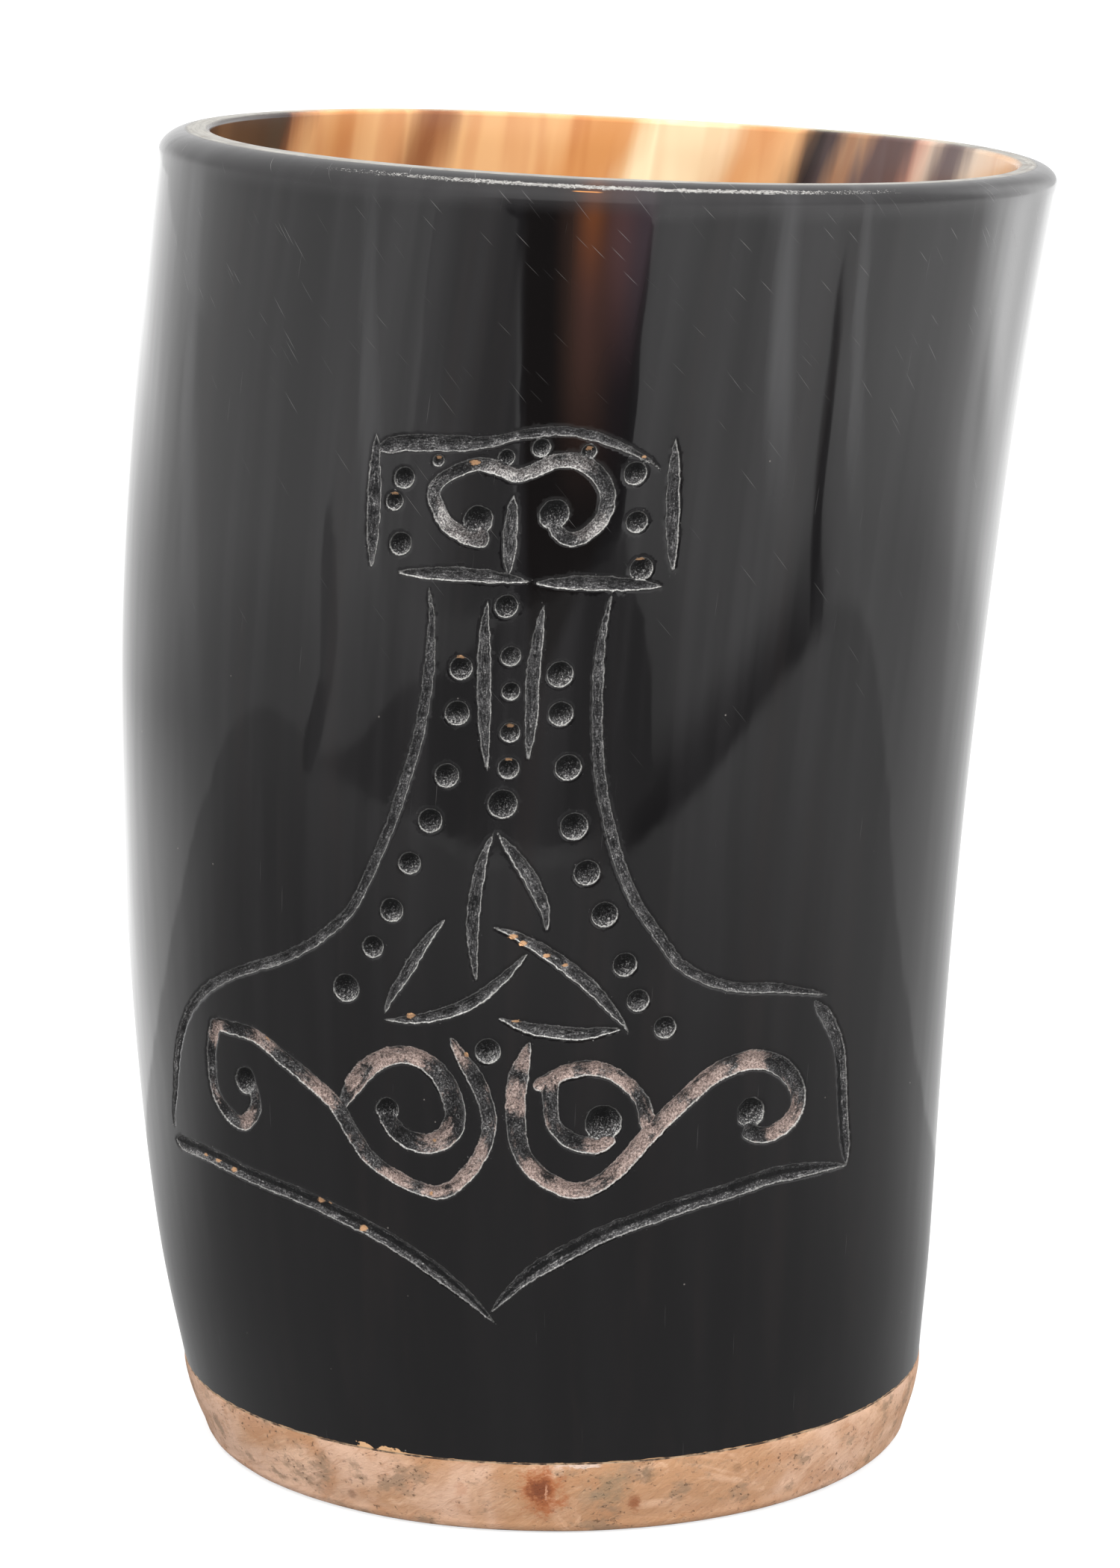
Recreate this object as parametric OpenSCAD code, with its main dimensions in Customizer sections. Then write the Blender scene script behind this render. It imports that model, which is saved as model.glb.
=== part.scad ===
// Drinking cup cut from a bovine horn, closed at the foot by a glued wooden disc.
// Millimetres, +Z up. The origin is the middle of the disc's underside. The carved
// front faces -Y, and the horn bends and leans towards +X.

/* [Horn] */
// Height of the horn from its foot to the middle of the rim
horn_h = 116.3; // [80:0.1:160]
// Outer radius of the horn at its foot
foot_r = 35.9; // [30:0.1:42]
// Outer radius of the horn at the rim
rim_r = 42; // [36:0.1:55]
// Radius of the arc that the horn's middle line bends on
bend_r = 508; // [300:1:900]
// Height above the foot at which the middle line stands upright
upright_h = 33.9; // [10:0.1:50]
// Wall at the rim, on the outside of the bend
rim_wall_left = 4.6; // [3.6:0.1:7]
// Wall at the rim, on the inside of the bend
rim_wall_right = 4; // [3.6:0.1:7]

/* [Rim] */
// Tilt of the sawn rim, higher on the outside of the bend (degrees)
rim_tilt = 2.3; // [0:0.1:5]
// How far the hand-sanded rim dips at the back
rim_dip = 0.35; // [0:0.1:1.5]
// Width of the rounding on the outer side of the lip
lip_w = 2.8; // [1:0.1:2.9]
// Height of the rounding on the outer side of the lip
lip_drop = 1.9; // [0.5:0.1:4]
// Radius of the eased edge on the inner side of the lip
lip_ease = 0.5; // [0.1:0.1:0.6]

/* [Wooden base] */
// Height of the disc's visible side, from the table to the glue line
base_h = 7.3; // [5:0.1:20]
// How far the disc's side draws in from the glue line to the table
base_draw = 2.1; // [0.5:0.1:5]
// Radius of the sanded edge round the underside
base_edge = 1.3; // [0.5:0.1:3]
// Height of the spigot that stands in the horn
spigot_h = 6; // [3:0.1:12]

/* [Seat and joint] */
// Horn left outside the bored seat, at the foot
seat_wall = 3.4; // [2:0.1:5]
// How far the seat is bored into the horn's natural wall
seat_step = 2.1; // [1.5:0.1:4]
// Thickness of the adhesive under the horn's foot
glue_bed = 0.2; // [0.1:0.05:0.5]
// Thickness of the adhesive round the spigot
glue_gap = 0.3; // [0.1:0.05:0.6]
// Thickness of the resin that seals the floor
seal_t = 1; // [0.5:0.1:3]
// Rise of the resin where it meets the wall
seal_rise = 2.2; // [1:0.1:4]

/* [Hidden] */

// How far the flare has opened, as shares of the horn's height and of its spread
flare_shares = [[0, 0], [0.1, 0.25], [0.27, 0.49], [0.44, 0.67], [0.62, 0.82], [0.8, 0.9], [1, 1]];
// The back of the rim dips about this direction, over this much to each side (degrees)
dip_at = 78;
dip_spread = 55;
// The power by which the disc's side curves in towards the table
draw_power = 1.6;

// Counts: sides round the horn, rings up a wall, rings round the lip and its inner edge
sides = 72;
wall_rings = 16;
lip_rings = 5;
ease_rings = 2;
// Steps of the disc's side, of its sanded edge and of the seal's cove
side_steps = 6;
edge_steps = 6;
cove_steps = 8;

spread = rim_r - foot_r;
foot_z = base_h + glue_bed;
rim_z = foot_z + horn_h;
seat_r = foot_r - seat_wall;
foot_wall = seat_wall + seat_step;
rim_wall = (rim_wall_left + rim_wall_right) / 2;
wall_skew = (rim_wall_left - rim_wall_right) / 2;
spigot_r = seat_r - glue_gap;
spigot_z = base_h + spigot_h;
floor_z = spigot_z + seal_t;
seat_z = floor_z + seal_rise;
// Overrun of a cut past the face that it opens
over = glue_bed;

// A smooth curve through stations [at, value], read at x
function station(list, x, i = 0) = i >= len(list) - 2 || x < list[i + 1][0] ? i : station(list, x, i + 1);
function slope(list, i) =
    let (a = list[max(i - 1, 0)], b = list[min(i + 1, len(list) - 1)])
    (b[1] - a[1]) / (b[0] - a[0]);
function curve(list, x) =
    let (i = station(list, x), a = list[i], b = list[i + 1], w = b[0] - a[0], u = (x - a[0]) / w)
    a[1] * (1 + 2 * u) * pow(1 - u, 2) + b[1] * (3 - 2 * u) * u * u
    + w * u * (1 - u) * (slope(list, i) * (1 - u) - slope(list, i + 1) * u);

// The horn's outside at a height: the radius of its round section, and its middle's place
function outer_r(z) = foot_r + spread * curve(flare_shares, (z - foot_z) / horn_h);
function arc_x(h) = bend_r - sqrt(bend_r * bend_r - pow(h - upright_h, 2));
function middle_x(z) = arc_x(z - foot_z) - arc_x(0);

// The wall at a height, round the horn
function wall_at(z, a) =
    let (t = (z - foot_z) / horn_h)
    foot_wall + t * (rim_wall - wall_skew * cos(a) - foot_wall);

// The height of the rim round the horn: a tilted cut with a shallow dip at the back
function dip(a) = abs(a - dip_at) > dip_spread ? 0 : rim_dip * (1 + cos(180 * (a - dip_at) / dip_spread)) / 2;
function rim_at(a) = rim_z - tan(rim_tilt) * rim_r * cos(a) - dip(a);

// Points of the wall's section in direction a, up the outside, over the lip, down the inside
function spot(z, a, inset) =
    let (r = outer_r(z) - inset)
    [middle_x(z) + r * cos(a), r * sin(a), z];
function outside(a) =
    let (top = rim_at(a) - lip_drop)
    [for (i = [0 : wall_rings]) spot(foot_z + (top - foot_z) * i / wall_rings, a, 0)];
function lip(a) =
    [for (i = [1 : lip_rings])
        let (b = 90 * i / lip_rings)
        spot(rim_at(a) - lip_drop * (1 - sin(b)), a, lip_w * (1 - cos(b)))];
function ease(a) =
    [for (i = [0 : ease_rings])
        let (b = 90 * i / ease_rings, z = rim_at(a) - lip_ease * (1 - cos(b)))
        spot(z, a, wall_at(z, a) - lip_ease * (1 - sin(b)))];
function inside(a) =
    let (top = rim_at(a) - lip_ease)
    [for (i = [1 : wall_rings])
        let (z = top + (foot_z - top) * i / wall_rings)
        spot(z, a, wall_at(z, a))];
function section(a) = concat(outside(a), lip(a), ease(a), inside(a));

// Skin over a closed ring of closed sections
module skin(sections) {
    m = len(sections);
    n = len(sections[0]);
    points = [for (s = sections) each s];
    faces = [for (i = [0 : m - 1], j = [0 : n - 1])
        let (p = i * n + j, q = i * n + (j + 1) % n, r = (i + 1) % m * n + j, s = (i + 1) % m * n + (j + 1) % n)
        each [[p, q, s], [p, s, r]]];
    polyhedron(points, faces, convexity = 6);
}

// The horn: a bent, flaring tube with an uneven wall, a rounded lip and a bored seat
module horn_body() {
    color([0.07, 0.06, 0.06])
    difference() {
        skin([for (k = [0 : sides - 1]) section(360 * k / sides)]);
        translate([0, 0, foot_z - over])
            cylinder(r = seat_r, h = seat_z - foot_z + over, $fn = sides);
    }
}

// The disc's side, from its underside up to the glue line
function side_r(z) = foot_r - base_draw * pow(1 - z / base_h, draw_power);
function base_side() = concat(
    [for (i = [0 : edge_steps])
        let (b = 90 * i / edge_steps)
        [side_r(base_edge) - base_edge * (1 - sin(b)), base_edge * (1 - cos(b))]],
    [for (i = [1 : side_steps])
        let (z = base_edge + (base_h - base_edge) * i / side_steps)
        [side_r(z), z]]);

// The wooden disc: a turned base with a shoulder under the horn and a spigot inside it
module wooden_base() {
    color([0.76, 0.58, 0.43])
    rotate_extrude($fn = sides)
        polygon(concat([[0, 0]], base_side(), [[spigot_r, base_h], [spigot_r, spigot_z], [0, spigot_z]]));
}

// The adhesive: a bed under the horn's foot and a sleeve round the spigot
module glue_joint() {
    color([0.86, 0.82, 0.72])
    rotate_extrude($fn = sides)
        polygon([
            [spigot_r, base_h],
            [foot_r, base_h],
            [foot_r, foot_z],
            [seat_r, foot_z],
            [seat_r, spigot_z],
            [spigot_r, spigot_z]
        ]);
}

// The seal: a thin floor of clear resin that coves up to the end of the bored seat
module floor_seal() {
    color([0.82, 0.66, 0.42, 0.6])
    rotate_extrude($fn = sides)
        polygon(concat(
            [[0, spigot_z], [seat_r, spigot_z]],
            [for (i = [0 : cove_steps])
                let (b = 90 * i / cove_steps)
                [seat_r - seal_rise * (1 - cos(b)), seat_z - seal_rise * sin(b)]],
            [[0, floor_z]]));
}

horn_body();
wooden_base();
glue_joint();
floor_seal();
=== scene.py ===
# The looks of the horn drinking cup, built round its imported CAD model.
# Sizes are in millimetres, as in the CAD source, and MM turns them into Blender's metres.
import math

import bpy
import numpy as np
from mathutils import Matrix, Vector


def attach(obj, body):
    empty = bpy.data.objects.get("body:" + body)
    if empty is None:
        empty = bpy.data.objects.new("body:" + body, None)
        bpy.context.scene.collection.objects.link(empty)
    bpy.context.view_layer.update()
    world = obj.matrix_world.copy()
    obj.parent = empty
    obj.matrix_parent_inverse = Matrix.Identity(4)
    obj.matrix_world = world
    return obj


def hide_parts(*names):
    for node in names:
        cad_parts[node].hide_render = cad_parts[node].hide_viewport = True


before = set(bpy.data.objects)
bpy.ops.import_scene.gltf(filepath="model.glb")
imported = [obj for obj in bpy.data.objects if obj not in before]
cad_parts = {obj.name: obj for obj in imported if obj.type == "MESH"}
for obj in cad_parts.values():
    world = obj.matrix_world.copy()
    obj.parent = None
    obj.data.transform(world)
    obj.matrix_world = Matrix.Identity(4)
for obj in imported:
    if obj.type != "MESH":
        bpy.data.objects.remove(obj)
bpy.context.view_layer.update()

MM = 0.001
WHITE = (1, 1, 1, 1)

# The horn, as the CAD source has it
BASE_H = 7.3
GLUE_BED = 0.2
HORN_H = 116.3
FOOT_R = 35.9
RIM_R = 42.0
BEND_R = 508.0
UPRIGHT_H = 33.9
WALL_LEFT = 4.6
WALL_RIGHT = 4.0
RIM_TILT = math.radians(2.3)
RIM_DIP = 0.35
DIP_AT = math.radians(78)
DIP_SPREAD = math.radians(55)
LIP_W = 2.8
LIP_DROP = 1.9
LIP_EASE = 0.5
SEAT_WALL = 3.4
SEAT_STEP = 2.1
FLARE = np.array([
    [0, 0], [0.1, 0.25], [0.27, 0.49], [0.44, 0.67], [0.62, 0.82], [0.8, 0.9], [1, 1],
])

# The wooden disc, the adhesive and the seal
BASE_DRAW = 2.1
DRAW_POWER = 1.6
BASE_EDGE = 1.3
BASE_SHIFT = 0.3
# The sanded side's dents, as layers of noise: height, size of the lumps and seed
DENTS = ((0.05, 5, 4), (0.02, 1.2, 5))
SPIGOT_H = 6.0
GLUE_GAP = 0.3
GLUE_INSET = 0.05
SEAL_T = 1.0
SEAL_RISE = 2.2

FOOT_Z = BASE_H + GLUE_BED
RIM_Z = FOOT_Z + HORN_H
SEAT_R = FOOT_R - SEAT_WALL
SPIGOT_R = SEAT_R - GLUE_GAP
SPIGOT_Z = BASE_H + SPIGOT_H
FLOOR_Z = SPIGOT_Z + SEAL_T
SEAT_Z = FLOOR_Z + SEAL_RISE

# The photograph's camera: its frame in pixels, its place, its tilt and its focal length
PHOTO_W = 1500
PHOTO_H = 2100
CAMERA_AT = np.array([0.8, -453.0, 159.1])
CAMERA_TILT = math.radians(11.99)
FOCAL_PX = 6487.0
SENSOR_MM = 36.0
AIM_ROUNDS = 12

# The horn's mesh: cells round it and up it, how often a cell is halved near the carving, how many
# of the finest cells a whole one has along its side, and how near each halving starts
AROUND = 160
UP = 72
HALVINGS = 3
FINE = 2 ** HALVINGS
REACH = (1.2, 0.6, 0.3)
LIP_ROWS = 10
EASE_ROWS = 4
INSIDE_ROWS = 36
# How many points a turned piece has round it
SPIN = 256

# The carving, in pixels of the photograph. Each row has a kind, a width, and x and y of its points
# in turn. A cut swells to its middle, and a scroll is round-ended and dusty. The others keep their
# width between run-outs, apart from the arc, which thins past its first third. A tail is a scroll
# that starts narrow.
STROKES = (
    ("cut", 19, 504, 580,  499, 699,  497, 763),
    ("arc", 21, 505, 600,  537, 594,  575, 593,  627, 594,  661, 591,  695, 583,  747, 577,
        782, 581,  816, 591,  844, 603,  868, 616,  887, 631),
    ("cut", 18, 905, 587,  901, 692,  901, 771),
    ("cut", 18, 527, 766,  613, 769,  682, 775,  713, 781),
    ("cut", 19, 713, 781,  799, 781,  889, 785),
    ("cut", 18, 688, 662,  683, 716,  681, 772),
    ("scroll", 20, 640, 704,  644, 723,  623, 718,  599, 702,  584, 675,  582, 654,  599, 637,
        627, 625,  647, 622,  668, 628,  692, 637,  716, 630,  744, 618,  775, 618,  799, 634,
        813, 658,  811, 685,  795, 709,  768, 723,  747, 713,  739, 692),
    ("line", 14, 574, 786,  578, 829,  575, 891,  568, 942,  558, 994,  540, 1053,  520, 1111,
        496, 1166,  473, 1212,  449, 1239,  417, 1263,  378, 1283,  338, 1295,  303, 1308,
        275, 1326,  255, 1350,  243, 1382,  237, 1417,  235, 1457,  233, 1488,  235, 1516),
    ("line", 14, 820, 793,  809, 839,  802, 891,  800, 953,  801, 1008,  806, 1053,  816, 1104,
        830, 1156,  850, 1204,  875, 1242,  902, 1280,  913, 1293,  948, 1312,  984, 1322,
        1035, 1323,  1075, 1327,  1110, 1333),
    ("cut", 18, 654, 801,  649, 846,  648, 925,  649, 984,  652, 1034),
    ("cut", 18, 729, 808,  720, 856,  714, 905,  712, 953,  709, 994,  707, 1022),
    ("cut", 17, 661, 1116,  647, 1149,  638, 1190,  633, 1235,  634, 1280,  638, 1316),
    ("cut", 18, 665, 1115,  695, 1153,  716, 1187,  730, 1221,  732, 1249),
    ("cut", 15, 596, 1231,  567, 1265,  544, 1303,  524, 1334,  515, 1358),
    ("cut", 17, 513, 1366,  556, 1365,  599, 1356,  639, 1338,  674, 1310,  707, 1277),
    ("cut", 18, 661, 1242,  691, 1253,  727, 1273,  759, 1295,  790, 1320,  814, 1346,  834, 1370,
        842, 1383),
    ("cut", 18, 668, 1364,  703, 1376,  739, 1382,  774, 1385,  806, 1382,  834, 1378),
    ("bar", 22, 236, 1526,  279, 1546,  338, 1575,  401, 1601,  457, 1627,  516, 1658,  575, 1696,
        623, 1734,  664, 1773),
    ("side", 20, 1091, 1340,  1110, 1366,  1124, 1401,  1128, 1449,  1130, 1496,  1133, 1536,
        1134, 1560),
    ("line", 23, 1134, 1560,  1095, 1564,  1035, 1575,  976, 1595,  917, 1613,  861, 1633,
        810, 1652,  759, 1678,  711, 1706,  679, 1734,  656, 1759),
    ("scroll", 21, 287, 1374,  282, 1417,  289, 1465,  306, 1492,  326, 1504,  342, 1484,
        338, 1457),
    ("tail", 22, 602, 1388,  619, 1417,  639, 1449,  652, 1484,  654, 1516,  643, 1548,  619, 1579,
        591, 1597,  560, 1591,  528, 1575,  496, 1552,  473, 1520,  449, 1480,  417, 1449,
        378, 1417,  338, 1386,  292, 1372),
    ("tail", 29, 455, 1488,  473, 1453,  496, 1427,  528, 1413,  560, 1417,  587, 1437,  605, 1469,
        609, 1500,  595, 1524,  567, 1532,  536, 1520,  520, 1500),
    ("tail", 27, 709, 1396,  697, 1433,  691, 1465,  691, 1504,  697, 1540,  715, 1567,  743, 1587,
        774, 1595,  806, 1583,  838, 1556,  861, 1528,  885, 1504,  917, 1473,  948, 1445,
        980, 1427,  1016, 1419,  1047, 1429,  1067, 1453,  1069, 1480,  1055, 1504,  1027, 1520,
        1004, 1516),
    ("scroll", 21, 867, 1504,  861, 1477,  842, 1453,  814, 1435,  786, 1431,  755, 1437,
        723, 1453),
    ("scroll", 23, 737, 1449,  737, 1477,  743, 1508,  766, 1528,  798, 1536,  814, 1528),
)
# The round pits of the same burr: place and radius in pixels
PITS = (
    (541, 640, 14), (528, 671, 12), (536, 728, 15), (587, 617, 8), (678, 613, 11), (725, 600, 12),
    (789, 605, 10), (851, 634, 15), (853, 699, 14), (859, 762, 15), (678, 812, 15), (684, 879, 13),
    (684, 926, 12), (683, 981, 13), (681, 1029, 14), (673, 1077, 19), (617, 895, 15),
    (612, 955, 16), (598, 1039, 16), (576, 1099, 16), (548, 1156, 15), (524, 1219, 16),
    (499, 1268, 15), (463, 1323, 19), (750, 903, 17), (751, 956, 16), (761, 1028, 17),
    (769, 1107, 18), (786, 1169, 17), (810, 1225, 17), (837, 1292, 16), (855, 1340, 15),
    (891, 1376, 15), (653, 1408, 17),
)
# The bulbs where a scroll curls in
BULBS = (
    (640, 697, 19), (742, 689, 19), (328, 1447, 19), (518, 1486, 16), (1006, 1490, 21),
    (808, 1504, 24),
)
# Where the carving's dust lies thick in the scrolls: place and radius in pixels
DUST = (
    (289, 1386, 16), (348, 1392, 18), (430, 1456, 22), (481, 1452, 18), (516, 1424, 26),
    (556, 1411, 18), (616, 1412, 14), (660, 1455, 8), (582, 1526, 18), (636, 1552, 20),
    (612, 1580, 18), (530, 1577, 18), (584, 1592, 14), (704, 1420, 16), (691, 1470, 20),
    (712, 1576, 18), (774, 1594, 30), (835, 1559, 28), (868, 1524, 24), (897, 1494, 26),
    (950, 1444, 30), (1010, 1420, 18), (1060, 1494, 16), (1040, 1515, 12), (726, 1452, 12),
    (751, 1436, 18), (812, 1434, 26), (838, 1452, 14), (812, 1528, 20), (328, 1500, 16),
    (668, 628, 26), (716, 630, 30), (775, 618, 20), (600, 690, 22), (618, 716, 24), (796, 708, 20),
)
# Tan chips in the carving: place, and half their width and height in pixels
CHIPS = (
    (635, 620, 9, 5), (587, 613, 5, 3), (528, 661, 7, 3), (617, 880, 8, 3), (683, 973, 7, 4),
    (681, 1018, 8, 3), (858, 749, 8, 3), (789, 601, 6, 4), (863, 612, 4, 3), (687, 1255, 8, 4),
    (700, 1264, 7, 4), (732, 1281, 7, 3), (757, 1294, 6, 3), (551, 1359, 9, 3), (691, 1368, 8, 3),
    (355, 1392, 7, 4), (624, 1413, 5, 5), (271, 1547, 6, 3), (288, 1555, 8, 3), (310, 1567, 8, 4),
    (427, 1608, 8, 6), (440, 1612, 5, 3), (485, 1646, 8, 5), (579, 1530, 4, 3), (576, 1600, 4, 3),
    (548, 1363, 6, 3),
)
PX_PER_MM = 14.4
CUT_DEPTH_SHARE = 0.75
PIT_DEPTH_SHARE = 0.8
CUT_STEP = 0.4
# How full a cut is: the powers of its swelling
CUT_SWELL = (2.2, 0.8)
# How wide the arc still is at two shares of its length
ARC_THINS = ((0.27, 0.45), (1, 0.58))
# A scroll's width varies by this share as the burr turns
SCROLL_VARIES = 0.08
SCROLL_TURNS = 9
# How far a stroke takes to reach its full width, from its start and from its end
RUN_OUTS = {
    "line": (7.0, 7.0), "bar": (1.2, 7.0), "arc": (1.2, 7.0), "side": (2.0, 2.0), "tail": (3.5, 0),
}
RUN_OUT_POWER = 0.6
# How a stroke's floor is textured: 1 is grit, 0 is fibres, and the long lines and pits lie between
STIPPLE = {
    "scroll": 1, "tail": 1, "bulb": 0.5, "pit": 0.5, "line": 0.2, "bar": 0.2, "arc": 0.2,
    "side": 0.2,
}
# Below this height a line was cut in two passes, with a track left between them
TRACK_Z = 43.0
TRACK_DEPTH = 0.3
TRACK_HALF = 0.3
# The carving's frayed edges and rough floor, as layers of noise: height, size of lumps and seed
FRAYED_EDGE = ((0.07, 0.45, 1),)
PIT_FRAY = 0.4
ROUGH_FLOOR = ((0.05, 0.5, 2), (0.03, 0.24, 3))
# The floor is rough from this far inside its edge
ROUGH_FROM = 0.3
LEAST_HALF = 0.02
# How far apart the strokes' lengths lie in the noise, so that no two look alike
STROKE_SHIFT = 20
# How far past its radius a patch of dust thins out, and how much dust lies between the patches
DUST_REACH = 1.7
DUST_LEAST = 0.35
# An edge distance for points that are nowhere near the carving
FAR = 99.0
# On the flattened front, the way from a cut's lit side to its shaded side, turned round
SHADED_SIDE = np.array([0.35, -0.94])

# Colours as sRGB levels of 255: those of the streaks, then those of the skin, the lip, the marks,
# the carving, the wood, the adhesive and the resin
TONES = {
    "black": (20, 17, 17), "dark": (40, 27, 25), "umber": (44, 31, 28), "plum": (98, 80, 79),
    "red": (128, 62, 34), "brown": (146, 94, 60), "rose": (206, 152, 130), "amber": (206, 142, 86),
    "tan": (226, 174, 122), "ivory": (222, 200, 178), "cream": (244, 224, 184),
    # The skin's pale and streak tones are partly painted sheen
    "skin": (14, 13, 14), "skin_pale_sheen": (31, 30, 31), "skin_streak_sheen": (26, 22, 22),
    "fibre": (70, 70, 71), "band": (14, 12, 12), "band_left": (38, 27, 23), "mauve": (66, 44, 42),
    "mauve_right": (48, 40, 44), "mauve_low": (22, 18, 20), "heart": (82, 47, 28),
    "heart_low": (60, 39, 35), "shade": (206, 146, 104), "lip_dark": (126, 123, 117),
    "lip_light": (154, 151, 144), "lip_brown": (104, 90, 80), "lip_back": (178, 172, 146),
    # The lip's grey tones are partly a painted highlight, and its pale inner edge tone is a painted
    # highlight
    "lip_edge_highlight": (204, 200, 186), "dulled": (56, 55, 56), "frayed_dark": (104, 102, 99),
    "frayed_light": (168, 166, 162), "glint": (206, 138, 76), "hairline": (150, 148, 147),
    "speck": (96, 92, 88), "torn_dark": (150, 104, 66), "torn_light": (232, 190, 146),
    # The carving's pale edge tone carries a painted highlight
    "edge_highlight": (222, 220, 216), "fleck": (150, 148, 146), "chip_dark": (176, 124, 82),
    "chip_light": (224, 184, 144), "wood_outer": (206, 169, 144), "wood_middle": (181, 137, 101),
    "stain": (172, 122, 84), "stain_pale": (224, 186, 158), "grain": (164, 118, 84),
    "grain_pale": (228, 194, 164), "mottle": (142, 116, 92), "pore": (104, 78, 58),
    "crack": (186, 134, 104), "smear": (218, 200, 190), "bottom_edge_dark": (86, 58, 42),
    "adhesive_dusty": (70, 54, 42), "adhesive": (176, 150, 122), "resin_dark": (176, 124, 74),
    "resin": (214, 168, 112),
}
# Ramps of the carving, from the deepest shade up: its dust, and its bare cuts
DUST_RAMP = (
    (0.26, (80, 70, 67)), (0.44, (150, 129, 121)), (0.60, (204, 181, 171)),
    (0.80, (236, 218, 209)),
)
CUT_RAMP = (
    (0.30, (20, 20, 21)), (0.46, (62, 61, 62)), (0.58, (112, 111, 111)), (0.70, (186, 184, 182)),
    (0.84, (236, 234, 230)),
)
# The streaks round the horn, each a direction in degrees and a tone: -90 is the front, 90 the back
# The cream and ivory streaks are partly painted light: they are as bright as the inside looks with
# light shining through the thin wall from behind
STREAKS = (
    (-180, "umber"), (-140, "black"), (-45, "black"), (-18, "umber"), (8, "tan"), (22.5, "ivory"),
    (25.5, "plum"), (31.5, "plum"), (34.2, "ivory"), (36.8, "rose"), (39.8, "plum"), (48.2, "plum"),
    (49.9, "tan"), (51.6, "plum"), (54.5, "dark"), (58.5, "dark"), (61.2, "tan"), (68, "amber"),
    (72.8, "cream"), (85, "cream"), (87.5, "amber"), (94.5, "amber"), (98.5, "tan"), (113, "tan"),
    (117.2, "brown"), (120.7, "brown"), (124.6, "tan"), (129.5, "tan"), (134, "amber"),
    (143, "tan"), (145.2, "red"), (147, "umber"),
)


def srgb(r, g, b):
    """A linear colour from sRGB levels of 255."""
    levels = np.array([r, g, b]) / 255
    linear = np.where(levels <= 0.04045, levels / 12.92, ((levels + 0.055) / 1.055) ** 2.4)
    return (*[float(c) for c in linear], 1.0)


# The shape of the horn

def flare(t):
    """How far the flare has opened at a share of the horn's height: a smooth curve."""
    at, value = FLARE.T
    rise = np.diff(value) / np.diff(at)
    slopes = np.concatenate([rise[:1], (value[2:] - value[:-2]) / (at[2:] - at[:-2]), rise[-1:]])
    i = np.clip(np.searchsorted(at, t, side="right") - 1, 0, len(at) - 2)
    w = at[i + 1] - at[i]
    u = (t - at[i]) / w
    ends = value[i] * (1 + 2 * u) * (1 - u) ** 2 + value[i + 1] * (3 - 2 * u) * u * u
    return ends + w * u * (1 - u) * (slopes[i] * (1 - u) - slopes[i + 1] * u)


def outer_r(z):
    """The radius of the horn's round section at a height."""
    return FOOT_R + (RIM_R - FOOT_R) * flare((z - FOOT_Z) / HORN_H)


def middle_x(z):
    """Where the bent middle line is at a height."""
    def arc(h):
        return BEND_R - np.sqrt(BEND_R ** 2 - (h - UPRIGHT_H) ** 2)
    return arc(z - FOOT_Z) - arc(0)


def wall_at(z, a):
    """The wall at a height, in direction a."""
    t = (z - FOOT_Z) / HORN_H
    foot = SEAT_WALL + SEAT_STEP
    rim = (WALL_LEFT + WALL_RIGHT) / 2 - (WALL_LEFT - WALL_RIGHT) / 2 * np.cos(a)
    return foot + t * (rim - foot)


def turn_from(a, start):
    """How far direction a is turned from a start, between half a turn either way."""
    return np.arctan2(np.sin(a - start), np.cos(a - start))


def rim_at(a):
    """The height of the rim in direction a: a tilted cut with a shallow dip at the back."""
    off = np.abs(turn_from(a, DIP_AT))
    dip = np.where(off > DIP_SPREAD, 0, RIM_DIP * (1 + np.cos(np.pi * off / DIP_SPREAD)) / 2)
    return RIM_Z - math.tan(RIM_TILT) * RIM_R * np.cos(a) - dip


def spot(z, a, inset):
    """Points inset from the horn's outside at a height, in direction a."""
    r = outer_r(z) - inset
    return np.stack([middle_x(z) + r * np.cos(a), r * np.sin(a), z + 0 * a], -1)


# The carving

def on_horn(px, py):
    """Where the photograph's pixel lies on the horn: mm round from the front, and height."""
    c = math.cos(CAMERA_TILT)
    s = math.sin(CAMERA_TILT)
    right = (px - PHOTO_W / 2) / FOCAL_PX
    up = (PHOTO_H / 2 - py) / FOCAL_PX
    ray = np.array([right, c + s * up, c * up - s])
    z = RIM_Z / 2
    # The ray meets the horn's round section at a height, and a few rounds settle which height
    for _ in range(AIM_ROUNDS):
        m = middle_x(z)
        r = outer_r(z)
        a = ray[0] ** 2 + ray[1] ** 2
        b = (CAMERA_AT[0] - m) * ray[0] + CAMERA_AT[1] * ray[1]
        k = (CAMERA_AT[0] - m) ** 2 + CAMERA_AT[1] ** 2 - r * r
        t = (-b - math.sqrt(max(b * b - a * k, 0))) / a
        z = CAMERA_AT[2] + t * ray[2]
    place = CAMERA_AT + t * ray
    return unrolled(math.atan2(place[1], place[0] - middle_x(z)), z)


def unrolled(a, z):
    """Direction and height as mm on the flattened front."""
    turn = turn_from(a, -math.pi / 2)
    return np.stack([turn * outer_r(z), z + 0 * turn], -1)


def smooth_path(points):
    """An even run of points along a smooth curve through points."""
    p = np.array(points, float)
    p = np.vstack([2 * p[0] - p[1], p, 2 * p[-1] - p[-2]])
    run = []
    for p0, p1, p2, p3 in zip(p[:-3], p[1:-2], p[2:-1], p[3:]):
        steps = max(2, int(np.linalg.norm(p2 - p1) / CUT_STEP))
        for u in np.arange(steps) / steps:
            run.append(0.5 * (2 * p1 + (p2 - p0) * u + (2 * p0 - 5 * p1 + 4 * p2 - p3) * u * u
                              + (3 * p1 - p0 - 3 * p2 + p3) * u ** 3))
    return np.array(run + [p[-2]])


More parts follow.
